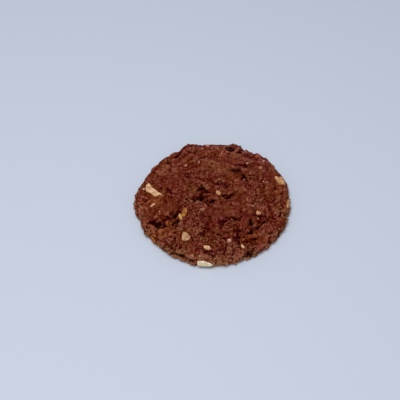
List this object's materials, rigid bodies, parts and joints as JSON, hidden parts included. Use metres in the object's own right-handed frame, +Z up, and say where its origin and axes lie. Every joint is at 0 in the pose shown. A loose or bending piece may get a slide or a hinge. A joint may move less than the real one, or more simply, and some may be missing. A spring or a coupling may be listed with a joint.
{
  "type": "double chocolate chip cookie",
  "caption": "Round, flat-bottomed double chocolate cookie with a craggy cocoa top, pits and cracks, a rounded uneven rim and pale chopped nut pieces baked into it.",
  "frame": {"origin": "the middle of the cookie's foot, on the surface that it rests on", "axes": "+Z up through the craggy top; +Y to the back of the cookie as pictured, +X to its right"},
  "size_m": [0.0915, 0.091, 0.0081],
  "materials": {
    "baked_cocoa_dough": null,
    "chopped_nut": null
  },
  "bodies": {
    "root": {"cookie": "baked_cocoa_dough"}
  },
  "joints": []
}
